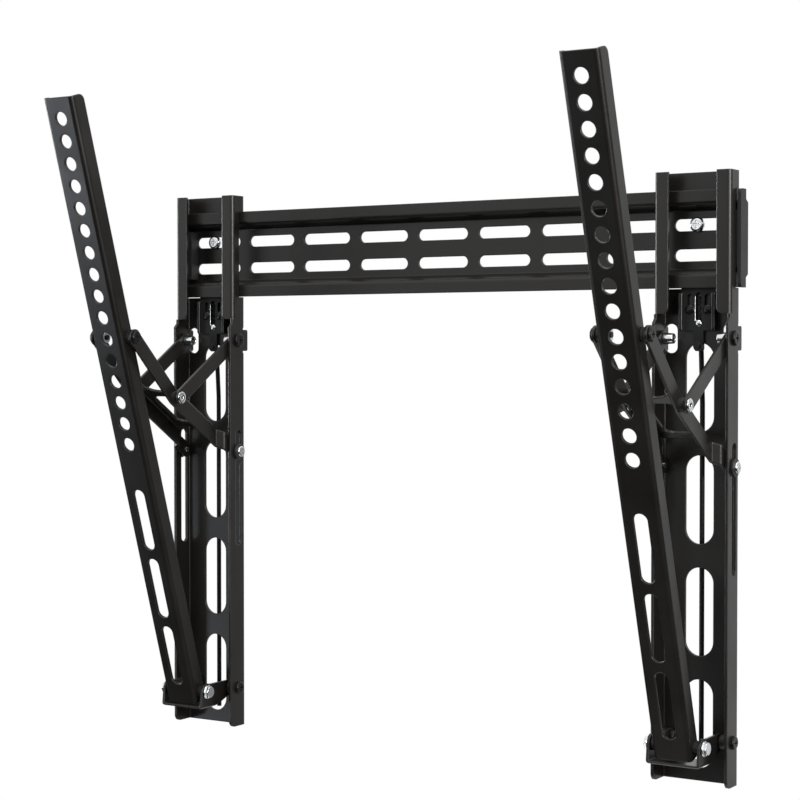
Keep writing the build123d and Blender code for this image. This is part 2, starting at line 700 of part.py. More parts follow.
SIDE_PARTS = {
    "channel": make_channel,
    "latch_plate": make_latch_plate,
    "latch_guides": make_latch_guides,
    "latch_spring": make_latch_spring,
    "release_rod": make_release_rod,
    "fixed_screws": make_fixed_screws,
    "fixed_nuts": make_fixed_nuts,
    "short_link_a": lambda: make_short_link(-1),
    "short_link_b": lambda: make_short_link(1),
    "long_link": make_long_link,
    "mid_rivets": make_mid_rivets,
    "mid_spacers": make_mid_spacers,
    "slider_bushes": make_slider_bushes,
    "slider_screws": make_slider_screws,
    "arm_screws": make_arm_screws,
    "arm_spacers": make_arm_spacers,
    "arm_nuts": make_arm_nuts,
    "tv_arm": make_arm,
    "foot_bolts": make_foot_bolts,
    "foot_nuts": make_foot_nuts,
    "foot_spacers": make_foot_spacers,
    "foot_link": make_foot_link,
    "foot_pivots": make_foot_pivots,
    "foot_pivot_nuts": make_foot_pivot_nuts,
    "foot_pivot_spacers": make_foot_pivot_spacers,
}


def main():
    os.makedirs("parts", exist_ok=True)
    cap = make_cap()
    export_step(make_rail(), "parts/wall_rail.step")
    export_step(cap, "parts/rail_cap_right.step")
    export_step(mirror(cap, Plane.YZ), "parts/rail_cap_left.step")
    for name, x in zip(("left", "right"), WALL_SCREW_X):
        export_step(make_wall_screw(x), f"parts/wall_screw_{name}.step")
    for name, build in SIDE_PARTS.items():
        piece = build()
        export_step(Pos(-ARM_SPACING / 2, 0, 0) * piece, f"parts/left_{name}.step")
        export_step(Pos(ARM_SPACING / 2, 0, 0) * piece, f"parts/right_{name}.step")


if __name__ == "__main__":
    main()
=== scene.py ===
"""Looks of the tilting screen bracket: finishes, turned hardware, floor, light and camera."""
import json
import logging
import math
from abc import ABC, abstractmethod
from dataclasses import dataclass
from enum import Enum
from typing import Any

import bmesh
import bpy
import numpy as np
from mathutils import Matrix, Vector


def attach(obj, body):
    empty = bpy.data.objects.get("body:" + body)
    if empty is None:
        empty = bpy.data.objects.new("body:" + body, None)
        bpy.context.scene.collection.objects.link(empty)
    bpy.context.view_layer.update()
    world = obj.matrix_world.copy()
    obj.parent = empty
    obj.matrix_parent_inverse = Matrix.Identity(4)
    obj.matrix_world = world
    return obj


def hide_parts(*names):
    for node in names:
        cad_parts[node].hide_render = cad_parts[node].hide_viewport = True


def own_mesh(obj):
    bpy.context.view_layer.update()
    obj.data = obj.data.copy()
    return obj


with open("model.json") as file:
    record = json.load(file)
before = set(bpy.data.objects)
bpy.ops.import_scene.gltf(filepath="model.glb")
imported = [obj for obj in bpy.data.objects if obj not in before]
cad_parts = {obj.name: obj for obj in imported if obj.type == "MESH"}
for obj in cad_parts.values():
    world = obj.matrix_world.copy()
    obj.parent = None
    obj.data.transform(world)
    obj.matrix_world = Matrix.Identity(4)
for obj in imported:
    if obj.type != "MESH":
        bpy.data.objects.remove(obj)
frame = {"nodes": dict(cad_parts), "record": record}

log = logging.getLogger("bracket")

Point = tuple[float, float, float]
Pair = tuple[float, float]

MM = 0.001

# Grids and edges of the new pieces.
CIRCLE = 72  # points round a turned piece
WIRE_CIRCLE = 12  # points round a wire
OFF_WIRE = (0.31, 0.83, 0.47)  # a direction that no wire runs along
SOFT_CREASE = 35.0  # degrees above which an edge stays sharp
HARD_CREASE = 20.0  # the same on hexagons and threads
SIXTH = math.pi / 3  # turn from one side of a hexagon to the next
CHAMFER = math.pi / 6  # slope against the face of the cone that cuts a hexagon's corners

# Settings that the node materials share.
MIX_FACTOR, MIX_A, MIX_B, MIX_RESULT = 0, 6, 7, 2  # colour sockets of Blender's Mix node
NOISE_SPAN = (0.3, 0.7)  # where most values of a noise lie
EDGE_SPAN = (0.99, 0.80)  # cosine of face to rounded normal, from plain face to full edge
BEVEL_SAMPLES = 6
SOFT_DETAIL, RICH_DETAIL = 2.0, 3.0  # octaves of a noise
WHITE = "#ffffff"
LEVEL = (1.0, 1.0, 0.0)  # keeps x and y and drops the height

# Pivots of an assembly in mm: distance from the wall and height.
FIXED_PIVOT = (13.5, -65.0)
LINK_CROSSING = (79.285, -106.909)
ARM_PIVOT = (123.506, -63.453)
FOOT_BOLT = (41.5, -328.0)
FOOT_PIVOT = (13.5, -328.0)
SPRING_TOP = -37.5  # height of the latch spring's upper end
STOP_HEIGHT = -55.0  # height of the stop under the latch
M4_BORE, M5_BORE = 1.96, 2.46  # radii of the tapped holes


class Side(Enum):
    """The two hanging assemblies and the place of each along the rail, in mm."""

    LEFT = -200.0
    RIGHT = 200.0

    @property
    def prefix(self) -> str:
        """Start of the names of this side's nodes and bodies."""
        return self.name.lower()


class Axis(Enum):
    """Ways that the axis of a turned piece may point."""

    ACROSS = "along the rail"
    OUT = "out from the wall"


class Slot(Enum):
    """Material slots of the record."""

    STEEL = "black_steel"
    OXIDE = "black_oxide"
    ZINC = "zinc"
    PLASTIC = "black_plastic"


# ---------------------------------------------------------------- material tools
def linear(colour: str) -> tuple[float, float, float, float]:
    """Turns an sRGB hex colour to linear.

    Each part up to 0.04045 is divided by 12.92, and above that it is
    ((part + 0.055) / 1.055) to the power 2.4.

    Args:
        colour: Six hex digits after a hash sign.

    Returns:
        Linear red, green, blue and an alpha of one.
    """
    parts = np.array([int(colour[i : i + 2], 16) for i in (1, 3, 5)]) / 255.0
    bright = ((parts + 0.055) / 1.055) ** 2.4
    red, green, blue = np.where(parts <= 0.04045, parts / 12.92, bright)
    return float(red), float(green), float(blue), 1.0


def add_node(tree: bpy.types.NodeTree, kind: str, sockets: dict[Any, Any],
             **settings: Any) -> bpy.types.Node:
    """Adds one node, sets it up and links it.

    Args:
        tree: Node tree that takes the node.
        kind: Blender's name of the node type.
        sockets: Input name or number to a constant, or to the output that feeds it.
        settings: Attributes of the node itself.

    Returns:
        The new node.
    """
    node = tree.nodes.new(kind)
    for name, value in settings.items():
        setattr(node, name, value)
    for name, value in sockets.items():
        if isinstance(value, bpy.types.NodeSocket):
            tree.links.new(value, node.inputs[name])
        else:
            node.inputs[name].default_value = value
    return node


def new_material(name: str) -> tuple[bpy.types.Material, bpy.types.NodeTree]:
    """Starts an empty node material.

    Args:
        name: Name of the real finish.

    Returns:
        The material and its node tree.
    """
    material = bpy.data.materials.new(name)
    material.use_nodes = True
    material.node_tree.nodes.clear()
    return material, material.node_tree


# ---------------------------------------------------------------- finishes
@dataclass(frozen=True)
class PowderCoat:
    """Satin black polyester powder coat, sprayed and baked on folded steel sheet.

    The eye gets a soft broad gloss, a faint orange peel, slow clouds of gloss where the film
    is thicker, and thin lines of light on cut edges, where the rounded normals catch the lamps
    and a paler edge tone paints a highlight on top. This painted highlight comes in over
    edge_out_mm, a range of distance from the wall.
    """

    name: str = "satin_black_powder_coat"
    film: str = "#141210"
    film_thick: str = "#191715"
    # Paler tone at cut edges: a painted highlight.
    edge: str = "#353433"
    peel_mm: float = 1.8  # a real peel is about 1 mm, drawn coarser so that it shows
    peel_depth_mm: float = 0.08
    peel_strength: float = 0.4
    cloud_mm: float = 38.0
    edge_mm: float = 1.0
    edge_out_mm: Pair = (-2.0, -1.0)
    gloss: Pair = (0.28, 0.38)
    ior: float = 1.5

    def material(self) -> bpy.types.Material:
        """Builds the coat's node material.

        Returns:
            The material.
        """
        material, tree = new_material(self.name)
        place = add_node(tree, "ShaderNodeTexCoord", {}).outputs["Object"]
        cloud = add_node(tree, "ShaderNodeTexNoise",
                         {"Vector": place, "Scale": 1 / (self.cloud_mm * MM),
                          "Detail": RICH_DETAIL})
        peel = add_node(tree, "ShaderNodeTexNoise",
                        {"Vector": place, "Scale": 1 / (self.peel_mm * MM),
                         "Detail": SOFT_DETAIL})
        bevel = add_node(tree, "ShaderNodeBevel", {"Radius": self.edge_mm * MM},
                         samples=BEVEL_SAMPLES)
        face = add_node(tree, "ShaderNodeNewGeometry", {})
        turn = add_node(tree, "ShaderNodeVectorMath",
                        {0: bevel.outputs["Normal"], 1: face.outputs["Normal"]},
                        operation="DOT_PRODUCT")
        edge = add_node(tree, "ShaderNodeMapRange",
                        {"Value": turn.outputs["Value"], "From Min": EDGE_SPAN[0],
                         "From Max": EDGE_SPAN[1]})
        depth = add_node(tree, "ShaderNodeSeparateXYZ", {"Vector": place})
        stands = add_node(tree, "ShaderNodeMapRange",
                          {"Value": depth.outputs["Y"], "From Min": -self.edge_out_mm[0] * MM,
                           "From Max": -self.edge_out_mm[1] * MM})
        # Share of the painted edge highlight: the edge mask where the surface stands out past
        # edge_out_mm.
        painted_highlight_share = add_node(tree, "ShaderNodeMath",
                        {0: edge.outputs["Result"], 1: stands.outputs["Result"]},
                        operation="MULTIPLY")
        film = add_node(tree, "ShaderNodeMix",
                        {MIX_FACTOR: cloud.outputs["Fac"], MIX_A: linear(self.film),
                         MIX_B: linear(self.film_thick)}, data_type="RGBA")
        # Painted highlight: the paler edge tone is mixed into the film along cut edges.
        colour = add_node(tree, "ShaderNodeMix",
                          {MIX_FACTOR: painted_highlight_share.outputs[0], MIX_A: film.outputs[MIX_RESULT],
                           MIX_B: linear(self.edge)}, data_type="RGBA")
        rough = add_node(tree, "ShaderNodeMapRange",
                         {"Value": cloud.outputs["Fac"], "From Min": NOISE_SPAN[0],
                          "From Max": NOISE_SPAN[1], "To Min": self.gloss[0],
                          "To Max": self.gloss[1]})
        bump = add_node(tree, "ShaderNodeBump",
                        {"Height": peel.outputs["Fac"], "Normal": bevel.outputs["Normal"],
                         "Distance": self.peel_depth_mm * MM, "Strength": self.peel_strength})
        shader = add_node(tree, "ShaderNodeBsdfPrincipled",
                          {"Base Color": colour.outputs[MIX_RESULT],
                           "Roughness": rough.outputs["Result"],
                           "Normal": bump.outputs["Normal"], "IOR": self.ior})
        add_node(tree, "ShaderNodeOutputMaterial", {"Surface": shader.outputs["BSDF"]})
        return material


@dataclass(frozen=True)
class PlatedSteel:
    """Turned or pressed steel with a thin plated or blackened skin.

    The eye gets a metal's sharp reflections, broken by small crystal patches that differ a
    little in tone and gloss, and rounded edges that catch the light.
    """

    name: str
    tone: str
    patch: str
    patch_mm: float
    gloss: Pair
    metallic: float = 1.0
    edge_mm: float = 0.25
    grains_in_patch: int = 2
    grain_depth_mm: float = 0.03
    grain_strength: float = 0.3

    def material(self) -> bpy.types.Material:
        """Builds the plating's node material.

        Returns:
            The material.
        """
        material, tree = new_material(self.name)
        place = add_node(tree, "ShaderNodeTexCoord", {}).outputs["Object"]
        crystal = add_node(tree, "ShaderNodeTexVoronoi",
                           {"Vector": place, "Scale": 1 / (self.patch_mm * MM)},
                           feature="SMOOTH_F1")
        grain = add_node(tree, "ShaderNodeTexNoise",
                         {"Vector": place, "Scale": self.grains_in_patch / (self.patch_mm * MM),
                          "Detail": RICH_DETAIL})
        colour = add_node(tree, "ShaderNodeMix",
                          {MIX_FACTOR: crystal.outputs["Distance"], MIX_A: linear(self.tone),
                           MIX_B: linear(self.patch)}, data_type="RGBA")
        rough = add_node(tree, "ShaderNodeMapRange",
                         {"Value": grain.outputs["Fac"], "From Min": NOISE_SPAN[0],
                          "From Max": NOISE_SPAN[1], "To Min": self.gloss[0],
                          "To Max": self.gloss[1]})
        bevel = add_node(tree, "ShaderNodeBevel", {"Radius": self.edge_mm * MM},
                         samples=BEVEL_SAMPLES)
        bump = add_node(tree, "ShaderNodeBump",
                        {"Height": grain.outputs["Fac"], "Normal": bevel.outputs["Normal"],
                         "Distance": self.grain_depth_mm * MM, "Strength": self.grain_strength})
        shader = add_node(tree, "ShaderNodeBsdfPrincipled",
                          {"Base Color": colour.outputs[MIX_RESULT],
                           "Roughness": rough.outputs["Result"],
                           "Normal": bump.outputs["Normal"], "Metallic": self.metallic})
        add_node(tree, "ShaderNodeOutputMaterial", {"Surface": shader.outputs["BSDF"]})
        return material


@dataclass(frozen=True)
class MouldedNylon:
    """Black nylon, injection moulded in a spark-eroded tool.

    The eye gets a dull even black with a fine pebble grain and slightly glossier clouds.
    """

    name: str = "moulded_black_nylon"
    tone: str = "#1a1a1b"
    bloom: str = "#262627"
    pebble_mm: float = 1.2  # real spark texture is finer, drawn coarser so that it shows
    pebble_depth_mm: float = 0.06
    pebble_strength: float = 0.3
    pebbles_in_cloud: int = 12
    gloss: Pair = (0.48, 0.62)
    ior: float = 1.53

    def material(self) -> bpy.types.Material:
        """Builds the plastic's node material.

        Returns:
            The material.
        """
        material, tree = new_material(self.name)
        place = add_node(tree, "ShaderNodeTexCoord", {}).outputs["Object"]
        pebble = add_node(tree, "ShaderNodeTexVoronoi",
                          {"Vector": place, "Scale": 1 / (self.pebble_mm * MM)},
                          feature="SMOOTH_F1")
        cloud_mm = self.pebbles_in_cloud * self.pebble_mm
        cloud = add_node(tree, "ShaderNodeTexNoise",
                         {"Vector": place, "Scale": 1 / (cloud_mm * MM), "Detail": SOFT_DETAIL})
        colour = add_node(tree, "ShaderNodeMix",
                          {MIX_FACTOR: cloud.outputs["Fac"], MIX_A: linear(self.tone),
                           MIX_B: linear(self.bloom)}, data_type="RGBA")
        rough = add_node(tree, "ShaderNodeMapRange",
                         {"Value": cloud.outputs["Fac"], "From Min": NOISE_SPAN[0],
                          "From Max": NOISE_SPAN[1], "To Min": self.gloss[0],
                          "To Max": self.gloss[1]})
        bump = add_node(tree, "ShaderNodeBump",
                        {"Height": pebble.outputs["Distance"],
                         "Distance": self.pebble_depth_mm * MM,
                         "Strength": self.pebble_strength})
        shader = add_node(tree, "ShaderNodeBsdfPrincipled",
                          {"Base Color": colour.outputs[MIX_RESULT],
                           "Roughness": rough.outputs["Result"],
                           "Normal": bump.outputs["Normal"], "IOR": self.ior})
        add_node(tree, "ShaderNodeOutputMaterial", {"Surface": shader.outputs["BSDF"]})
        return material


# Powder coat of the sheet steel, as its class describes it.
SATIN_COAT = PowderCoat()
# Thin black coat of the latch plate: almost no gloss, a film darker than the satin coat that
# paints the shade of its recess between the lips, and a pale painted highlight along the front
# of its folds.
LATCH_COAT_PAINTED_LIGHT = PowderCoat("latch_coat_painted_shade_and_highlight", film="#060606", film_thick="#0a0a0a",
                         edge="#b4b4b2", edge_mm=0.5, edge_out_mm=(11.6, 12.4),
                         gloss=(0.60, 0.72))
# Bright zinc: silver white with a cool cast, mottled by the plating bath.
BRIGHT_ZINC = PlatedSteel("bright_zinc_plate", tone="#f0f2f3", patch="#dde2e5", patch_mm=1.6,
                          gloss=(0.12, 0.22), grain_depth_mm=0.015)
# Black oxide: an oiled blue-black skin that still reflects as metal does.
BLACK_OXIDE = PlatedSteel("oiled_black_oxide", tone="#29292a", patch="#1c1c1d", patch_mm=1.4,
                          gloss=(0.22, 0.34), metallic=0.6)
# Nylon of the rail's end caps, as its class describes it.
CAP_NYLON = MouldedNylon()


# ---------------------------------------------------------------- mesh tools
@dataclass(frozen=True)
class Shell:
    """One closed surface: points in metres, four-sided faces, and a flat face at each open end."""

    points: np.ndarray
    quads: np.ndarray
    ends: np.ndarray

    def mirrored(self) -> "Shell":
        """The same surface on the far side of its assembly."""
        return Shell(self.points * (-1.0, 1.0, 1.0), self.quads, self.ends)

    def faces(self, start: int) -> list[list[int]]:
        """All its faces, with its points counted from start."""
        return (self.quads + start).tolist() + (self.ends + start).tolist()


def angles(count: int) -> np.ndarray:
    """Spreads count angles evenly over a full turn, in radians."""
    return np.linspace(0.0, 2 * math.pi, count, endpoint=False)


def skin(rings: np.ndarray, loop: bool) -> Shell:
    """Joins rings of points into one closed surface.

    Point (i, j) is the j-th point of ring i, and every ring closes on itself. With loop the
    last ring joins the first, as on a torus, and otherwise a flat face closes each end.

    Args:
        rings: Points in metres, of shape (rings, points, 3).
        loop: Whether the rings themselves close.

    Returns:
        The surface.
    """
    count, around = rings.shape[:2]
    row = np.arange(count if loop else count - 1)[:, None]
    col = np.arange(around)[None, :]
    next_row = (row + 1) % count
    next_col = (col + 1) % around
    corners = (row * around + col, row * around + next_col,
               next_row * around + next_col, next_row * around + col)
    quads = np.stack(np.broadcast_arrays(*corners), axis=-1).reshape(-1, 4)
    end_rows = np.array([] if loop else [0, count - 1], dtype=int)[:, None]
    return Shell(rings.reshape(-1, 3), quads, end_rows * around + col)


def turned(place: np.ndarray, radius: np.ndarray, centre: Pair,
           axis: Axis = Axis.ACROSS) -> np.ndarray:
    """Carries a profile round an axis.

    Ring i lies at place[i] along the axis, and its point j at the angle 2 pi j / CIRCLE and
    the distance radius[i, j] from the axis.

    Args:
        place: Places of the rings along the axis, in mm.
        radius: One radius for each ring, or one for each of its points, in mm.
        centre: Where the axis stands, in mm: distance from the wall and height for an axis
            across the bracket, x and height for one that points out from the wall.
        axis: Which way the axis points.

    Returns:
        Rings of points in metres.
    """
    angle = angles(CIRCLE)
    radius = radius if radius.ndim == 2 else radius[:, None]
    radius = np.broadcast_to(radius, (place.size, CIRCLE))
    along = np.broadcast_to(place[:, None], radius.shape)
    side = centre[0] + radius * np.cos(angle)
    high = centre[1] + radius * np.sin(angle)
    parts = [along, -side, high] if axis is Axis.ACROSS else [side, -along, high]
    return np.stack(parts, axis=-1) * MM


def tube(path: np.ndarray, radius: float) -> np.ndarray:
    """Carries a circle along a path, square to its direction at every point.

    Point j of a ring is path + radius (cos a first + sin a second), where first and second
    are square to the path and to each other, and a is 2 pi j / WIRE_CIRCLE.

    Args:
        path: Points of the path in mm, of shape (points, 3).
        radius: Radius of the circle in mm.

    Returns:
        Rings of points in metres.
    """
    ahead = np.gradient(path, axis=0)
    ahead /= np.linalg.norm(ahead, axis=1, keepdims=True)
    first = np.cross(ahead, OFF_WIRE)
    first /= np.linalg.norm(first, axis=1, keepdims=True)
    second = np.cross(ahead, first)
    angle = angles(WIRE_CIRCLE)[None, :, None]
    circle = np.cos(angle) * first[:, None, :] + np.sin(angle) * second[:, None, :]
    return (path[:, None, :] + radius * circle) * MM


def chamfered_hexagon(corner_r: float, depth: np.ndarray, face_share: float) -> np.ndarray:
    """Works out a hexagon whose corners a cone cuts off at its faces.

    The hexagon's radius is that of its flats over the cosine of the angle from a flat's
    middle. The cone's radius is face_share of the flats' plus depth / tan CHAMFER. The
    smaller of the two holds.

    Args:
        corner_r: Distance from the middle to a corner, in mm.
        depth: How far each ring lies below the nearest cut face, in mm.
        face_share: Radius of the round left on a cut face, as a share of that of the flats.

    Returns:
        The radius of each ring at each of CIRCLE angles, in mm.
    """
    flat = corner_r * math.cos(SIXTH / 2)
    sides = flat / np.cos(angles(CIRCLE) % SIXTH - SIXTH / 2)
    cone = face_share * flat + depth / math.tan(CHAMFER)
    return np.minimum(sides[None, :], cone[:, None])


def build_piece(name: str, shells: list[Shell], side: Side, paired: bool,
                crease: float) -> bpy.types.Object:
    """Puts closed surfaces into one object at its place on the rail.

    Args:
        name: Name of the piece.
        shells: The surfaces, about the middle of an assembly.
        side: The assembly that carries the piece.
        paired: Whether each surface also stands on the far side of its assembly.
        crease: Angle in degrees above which an edge stays sharp.

    Returns:
        The new object, at the origin.
    """
    if paired:
        shells = shells + [shell.mirrored() for shell in shells]
    starts = np.cumsum([0] + [len(shell.points) for shell in shells[:-1]])
    points = np.concatenate([shell.points for shell in shells]) + (side.value * MM, 0.0, 0.0)
    faces = [face for start, shell in zip(starts, shells) for face in shell.faces(start)]
    mesh = bpy.data.meshes.new(name)
    mesh.from_pydata(points.tolist(), [], faces)
    work = bmesh.new()
    work.from_mesh(mesh)
    bmesh.ops.recalc_face_normals(work, faces=work.faces)
    work.to_mesh(mesh)
    work.free()
    mesh.shade_smooth()
    mesh.set_sharp_from_angle(angle=math.radians(crease))
    piece = bpy.data.objects.new(name, mesh)
    bpy.context.scene.collection.objects.link(piece)
    return piece


# ---------------------------------------------------------------- fine hardware
@dataclass(kw_only=True)
class Hardware(ABC):
    """Fine hardware of one assembly: its name, its node, its body and the slot of its finish.

    The names lack the side's prefix. Sizes are in mm: x from the middle of the assembly, out
    from the wall, and heights from the middle of the rail.
    """

    label: str
    node: str
    body: str
    slot: Slot
    paired: bool = True
    crease: float = SOFT_CREASE

    @abstractmethod
    def shells(self) -> list[Shell]:
        """Shapes its closed surfaces, about the middle of an assembly."""

    def settle(self, piece: bpy.types.Object, side: Side) -> None:
        """Takes no further step for rigid hardware; a kind of hardware may override it."""

    def build(self, side: Side, finish: bpy.types.Material) -> bpy.types.Object:
        """Builds the hardware of one side, gives it its finish and its body, and hides the CAD node
        that it stands in for.

        Args:
            side: The assembly that carries it.
            finish: Its material.

        Returns:
            The piece.
        """
        piece = build_piece(f"{side.prefix}_{self.label}", self.shells(), side, self.paired,
                            self.crease)
        self.settle(piece, side)
        piece.data.materials.append(finish)
        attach(piece, f"{side.prefix}_{self.body}")
        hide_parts(f"{side.prefix}_{self.node}")
        return piece


@dataclass(kw_only=True)
class HollowRivet(Hardware):
    """Zinc eyelets at the crossing of the links, with a rolled head at each end."""

    label: str = "rolled_rivets"
    node: str = "mid_rivets"
    body: str = "long_link"
    slot: Slot = Slot.ZINC
    inner_seat: float = 16.5
    outer_seat: float = 24.7
    sleeve_r: float = 3.0
    bore_r: float = 1.3
    lip_r: float = 4.3
    crown: float = 0.9
    flatness: float = 0.35  # power of the sine, the smaller the flatter
    head_points: int = 25

    def shells(self) -> list[Shell]:
        """Shapes one rivet.

        The profile runs over a flattened half ellipse x = seat + crown sin(t)^flatness,
        r = middle - half width cos t, back along the sleeve, over the other head and through
        the bore.

        Returns:
            Its surface.
        """
        arc = np.linspace(0.0, math.pi, self.head_points)
        rise = self.crown * np.abs(np.sin(arc)) ** self.flatness
        middle = (self.bore_r + self.lip_r) / 2
        half = (self.lip_r - self.bore_r) / 2
        x = np.concatenate([self.outer_seat + rise, [self.outer_seat, self.inner_seat],
                            self.inner_seat - rise])
        r = np.concatenate([middle - half * np.cos(arc), [self.sleeve_r, self.sleeve_r],
                            middle + half * np.cos(arc)])
        return [skin(turned(x, r, LINK_CROSSING), loop=True)]


@dataclass(kw_only=True)
class SleeveNut(Hardware):
    """Round zinc sleeve nuts on the fixed pivots, with rounded rims and a slight taper."""

    label: str = "round_sleeve_nuts"
    node: str = "fixed_nuts"
    body: str = "channel"
    slot: Slot = Slot.ZINC
    inner_x: float = 15.6
    outer_x: float = 22.2
    outer_r: float = 4.0
    bore_r: float = M5_BORE
    rim: float = 0.45  # radius of the rounding
    taper: float = 0.5  # how far the outside draws in at the inner end
    rim_points: int = 6

    def shells(self) -> list[Shell]:
        """Shapes one nut.

        The profile is a rectangle between bore and outside, with a quarter circle of the rim's
        radius at each of its four corners. The outside draws in by taper at the inner end.

        Returns:
            Its surface.
        """
        quarter = np.linspace(0.0, math.pi / 2, self.rim_points)
        angle = np.concatenate([quarter + k * math.pi / 2 for k in range(4)])
        narrow_r = self.outer_r - self.taper
        corner_x = np.array([self.outer_x, self.inner_x, self.inner_x, self.outer_x])
        corner_r = np.array([self.outer_r, narrow_r, self.bore_r, self.bore_r])
        inward_x = np.array([-1.0, 1.0, 1.0, -1.0]) * self.rim
        inward_r = np.array([-1.0, -1.0, 1.0, 1.0]) * self.rim
        x = np.repeat(corner_x + inward_x, self.rim_points) + self.rim * np.cos(angle)
        r = np.repeat(corner_r + inward_r, self.rim_points) + self.rim * np.sin(angle)
        return [skin(turned(x, r, FIXED_PIVOT), loop=True)]


@dataclass(kw_only=True)
class HexNut(Hardware):
    """Hexagon nuts with both faces chamfered."""

    slot: Slot = Slot.ZINC
    crease: float = HARD_CREASE
    centre: Pair
    inner_x: float
    outer_x: float
    bore_r: float
    corner_r: float = 4.6
    face_share: float = 0.97
    rings: int = 17

    def shells(self) -> list[Shell]:
        """Shapes one nut: a hexagon cut by a cone at each face, and a plain bore.

        Returns:
            Its surface.
        """
        x = np.linspace(self.inner_x, self.outer_x, self.rings)
        depth = np.minimum(x - self.inner_x, self.outer_x - x)
        outside = chamfered_hexagon(self.corner_r, depth, self.face_share)
        bore = np.full((2, CIRCLE), self.bore_r)
        places = np.concatenate([x, [self.outer_x, self.inner_x]])
        return [skin(turned(places, np.concatenate([outside, bore]), self.centre), loop=True)]


@dataclass(kw_only=True)
class FootBolt(Hardware):
    """Zinc bolts at the foot of the arm: hexagon head on a round flange, shank and thread."""

    label: str = "flanged_foot_bolts"
    node: str = "foot_bolts"
    body: str = "arm"
    slot: Slot = Slot.ZINC
    crease: float = HARD_CREASE
    tail_x: float = 7.4  # free end of the thread
    thread_x: float = 13.2  # end of the thread at the shank
    seat_x: float = 19.0  # underside of the flange
    head_t: float = 3.0
    flange_t: float = 0.8
    flange_r: float = 5.2
    rim_x: float = 0.3  # from the seat to the widest ring of the flange
    rim_in: Pair = (0.2, 0.3)  # how far the flange draws in at its seat and at its top
    corner_r: float = 4.6
    face_share: float = 0.95
    shank_r: float = 3.0
    thread_r: float = 2.4
    thread_depth: float = 0.25
    pitch: float = 0.8
    tail_share: float = 0.5  # share of the thread's depth that the tail loses over one pitch
    thread_rings: int = 60
    head_rings: int = 14

    def shells(self) -> list[Shell]:
        """Shapes one bolt.

        Thread radius: thread_r less thread_depth times the distance of x / pitch - angle / 2 pi
        from a whole number and a half, doubled. Head radius: a hexagon cut by a cone at its
        outer face.

        Returns:
            Its surface.
        """
        turn = np.arange(CIRCLE) / CIRCLE
        thread_x = np.linspace(self.tail_x, self.thread_x, self.thread_rings)
        wave = (thread_x[:, None] / self.pitch - turn[None, :]) % 1.0
        thread = self.thread_r - self.thread_depth * np.abs(2 * wave - 1)
        lead = np.clip((thread_x - self.tail_x) / self.pitch, 0.0, 1.0)[:, None]
        thread = thread - (1 - lead) * self.tail_share * self.thread_depth
        step = self.seat_x + self.flange_t
        top = self.seat_x + self.head_t
        plain_x = np.array([self.thread_x, self.seat_x, self.seat_x, self.seat_x + self.rim_x,
                            step])
        plain_r = np.array([self.shank_r, self.shank_r, self.flange_r - self.rim_in[0],
                            self.flange_r, self.flange_r - self.rim_in[1]])
        plain = np.broadcast_to(plain_r[:, None], (plain_r.size, CIRCLE))
        head_x = np.linspace(step, top, self.head_rings)
        head = chamfered_hexagon(self.corner_r, top - head_x, self.face_share)
        places = np.concatenate([thread_x, plain_x, head_x])
        radius = np.concatenate([thread, plain, head])
        return [skin(turned(places, radius, FOOT_BOLT), loop=False)]


@dataclass(kw_only=True)
class LatchSpring(Hardware):
    """Small coil spring of the latch, of round blackened wire with closed end coils.

    It stands on the latch's stop.
    """

    label: str = "wire_spring"
    node: str = "latch_spring"
    body: str = "channel"
    slot: Slot = Slot.OXIDE
    paired: bool = False
    out: float = 8.3
    low: float = -52.725
    high: float = SPRING_TOP
    coil_r: float = 0.9
    wire_r: float = 0.25
    coils: int = 6
    coil_points: int = 32
    closing: float = 0.8  # 0 spaces the coils evenly, 1 lays the end coils flat
    pressed: float = 0.58  # share of its height that a pulled latch leaves

    def shells(self) -> list[Shell]:
        """Shapes the coil.

        A circle of the wire's radius is carried along the helix of angle 2 pi coils s and height
        low + (high - low) (s - closing sin(2 pi s) / 2 pi), which draws the end coils together.

        Returns:
            Its surface.
        """
        s = np.linspace(0.0, 1.0, self.coil_points * self.coils)
        angle = 2 * math.pi * self.coils * s
        rise = s - self.closing * np.sin(2 * math.pi * s) / (2 * math.pi)
        height = self.low + (self.high - self.low) * rise
        across = self.coil_r * np.cos(angle)
        forward = self.out + self.coil_r * np.sin(angle)
        path = np.stack([across, -forward, height], axis=-1)
        return [skin(tube(path, self.wire_r), loop=False)]

    def settle(self, piece: bpy.types.Object, side: Side) -> None:
        """Gives the spring a mesh of its own.

        Args:
            piece: The spring.
            side: Not used.
        """
        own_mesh(piece)


@dataclass(kw_only=True)
class SpringPin(Hardware):
    """Straight bright wire in front of the latch plate, its foot hooked under the stop's head."""

    label: str = "spring_pin"
    node: str = "latch_spring"
    body: str = "channel"
    slot: Slot = Slot.ZINC
    paired: bool = False
    x: float = -2.3
    out: float = 9.75
    top: float = SPRING_TOP
    foot_x: float = 0.0
    foot_out: float = 9.9
    low: float = STOP_HEIGHT
    hook_from: float = 0.86  # share of its height where the hook starts
    wire_r: float = 0.3
    path_points: int = 60

    def shells(self) -> list[Shell]:
        """Shapes the pin.

        A circle is carried down a straight line, which past the share hook_from of its height
        swings to the stop by the smooth step t^2 (3 - 2t).

        Returns:
            Its surface.
        """
        s = np.linspace(0.0, 1.0, self.path_points)
        t = np.clip((s - self.hook_from) / (1.0 - self.hook_from), 0.0, 1.0)
        swing = t * t * (3 - 2 * t)
        across = self.x + (self.foot_x - self.x) * swing
        forward = self.out + (self.foot_out - self.out) * swing
        height = self.top + (self.low - self.top) * s
        path = np.stack([across, -forward, height], axis=-1)
        return [skin(tube(path, self.wire_r), loop=False)]


